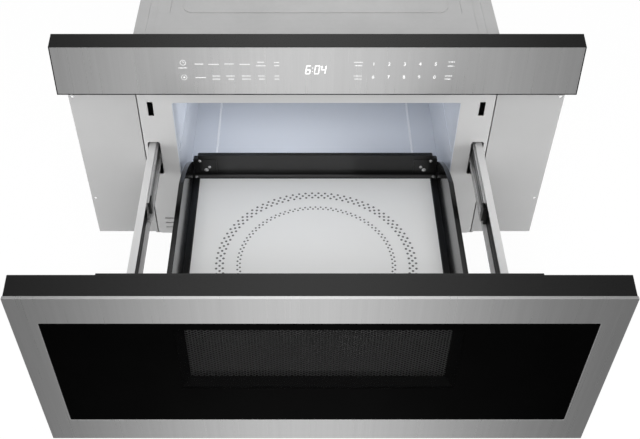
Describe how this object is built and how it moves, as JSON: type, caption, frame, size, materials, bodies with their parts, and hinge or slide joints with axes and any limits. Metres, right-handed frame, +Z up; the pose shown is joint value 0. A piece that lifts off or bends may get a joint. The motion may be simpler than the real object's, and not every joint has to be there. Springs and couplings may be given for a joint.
{
  "type": "microwave drawer",
  "caption": "Built-in microwave drawer, shown open: steel front with dark window, ceramic tray on telescopic slides, angled touch panel and zinc-coated chassis.",
  "frame": {"origin": "centre of the underside of the chassis, where it stands on the cabinet shelf", "axes": "+Z up, +Y from the room into the cabinet, +X to the right seen from the room; the drawer opens towards -Y and rest is drawer open"},
  "size_m": [0.76, 0.9782, 0.4159],
  "materials": {
    "zinc_sheet": "satin zinc-coated sheet",
    "brushed_steel": "horizontally brushed stainless sheet",
    "black_plastic": "fine satin moulding",
    "gloss_black": "glossy black coat",
    "dark_glass": "polished tinted glass",
    "clear_glass": "polished",
    "cavity_enamel": "smooth bluish-grey enamel",
    "ceramic_white": "glazed ceramic, polished",
    "black_metal": "black coated sheet",
    "slide_steel": "bright plated steel",
    "arm_steel": "pale matte coated sheet",
    "copper_wire": "varnished copper wire",
    "core_steel": "varnished lamination stack",
    "aluminium": "mill finish",
    "mica": "matte mica board",
    "circuit_board": "solder-mask green",
    "white_plastic": "moulded acetal",
    "display": "black display window",
    "motor_black": "motor and gearbox housings",
    "screw_steel": "plated screws",
    "grommet": "matte"
  },
  "bodies": {
    "cabinet": {"base_plate": "zinc_sheet", "cabinet_wrap": "zinc_sheet", "back_panel": "zinc_sheet", "front_plate": "zinc_sheet", "face_flanges": "zinc_sheet", "chassis_screws": "screw_steel", "cavity_liner": "cavity_enamel", "lamp_holder": "white_plastic", "cavity_lamp": "clear_glass", "stirrer_cover": "mica", "stirrer_motor": "motor_black", "waveguide": "zinc_sheet", "magnetron": "zinc_sheet", "magnetron_fins": "aluminium", "air_duct": "black_plastic", "transformer_core": "core_steel", "transformer_windings": "copper_wire", "capacitor": "aluminium", "fan_housing": "black_plastic", "fan_motor": "motor_black", "thermal_cutout": "white_plastic", "filter_board": "circuit_board", "cord_gland": "grommet", "control_housing": "black_plastic", "control_fascia": "brushed_steel", "control_board": "circuit_board", "display_module": "display", "fixed_rails": "slide_steel", "slide_supports": "zinc_sheet", "drive_motor": "motor_black", "drive_bracket": "zinc_sheet", "interlock_switches": "black_plastic", "interlock_holders": "zinc_sheet"},
    "drawer": {"drawer_steel_frame": "brushed_steel", "drawer_glass": "dark_glass", "drawer_door_body": "black_plastic", "window_screen": "black_metal", "inner_window": "clear_glass", "choke_panel": "black_plastic", "latch_hooks": "zinc_sheet", "drawer_side_walls": "gloss_black", "drawer_back_wall": "gloss_black", "corner_brackets": "black_metal", "tray_frame": "black_metal", "ceramic_tray": "ceramic_white", "tray_trim": "gloss_black", "drawer_pan": "black_metal", "drawer_screws": "screw_steel", "drawer_arms": "arm_steel", "drawer_rails": "slide_steel", "drive_rack": "white_plastic"},
    "middle_slides": {"middle_rails": "slide_steel", "rail_end_stops": "black_plastic"},
    "inner_cages": {"inner_ball_cages": "slide_steel"},
    "outer_cages": {"outer_ball_cages": "slide_steel"},
    "pinion": {"drive_pinion": "white_plastic"},
    "stirrer": {"stirrer_blades": "aluminium"},
    "fan": {"fan_blades": "black_plastic"},
    "left_plunger": {"left_interlock_plunger": "white_plastic"},
    "right_plunger": {"right_interlock_plunger": "white_plastic"}
  },
  "joints": [
    {"name": "drawer_slide", "type": "slide", "parent": "cabinet", "child": "drawer", "axis": [0, 1, 0], "range_m": [0, 0.371]},
    {"name": "middle_slide", "type": "slide", "parent": "cabinet", "child": "middle_slides", "axis": [0, 1, 0], "range_m": [0, 0.1856]},
    {"name": "inner_cage_slide", "type": "slide", "parent": "cabinet", "child": "inner_cages", "axis": [0, 1, 0], "range_m": [0, 0.0928]},
    {"name": "outer_cage_slide", "type": "slide", "parent": "cabinet", "child": "outer_cages", "axis": [0, 1, 0], "range_m": [0, 0.2784]},
    {"name": "pinion_turn", "type": "hinge", "parent": "cabinet", "child": "pinion", "pos_m": [0.036, -0.254, 0.044], "axis": [-1, 0, 0], "range_deg": [0, 1771.5]},
    {"name": "stirrer_spin", "type": "hinge", "parent": "cabinet", "child": "stirrer", "pos_m": [0, -0.065, 0.283], "axis": [0, 0, 1], "continuous": true},
    {"name": "fan_spin", "type": "hinge", "parent": "cabinet", "child": "fan", "pos_m": [0.15, 0.255, 0.12], "axis": [0, 1, 0], "continuous": true},
    {"name": "left_plunger_press", "type": "slide", "parent": "cabinet", "child": "left_plunger", "axis": [0, 1, 0], "range_m": [0, 0.003], "stiffness_N_per_m": 150},
    {"name": "right_plunger_press", "type": "slide", "parent": "cabinet", "child": "right_plunger", "axis": [0, 1, 0], "range_m": [0, 0.003], "stiffness_N_per_m": 150}
  ],
  "couplings": [
    {"joint": "middle_slide", "follows": "drawer_slide", "ratio": 0.5},
    {"joint": "inner_cage_slide", "follows": "drawer_slide", "ratio": 0.25},
    {"joint": "outer_cage_slide", "follows": "drawer_slide", "ratio": 0.75},
    {"joint": "pinion_turn", "follows": "drawer_slide", "rad_per_m": 83.333}
  ]
}
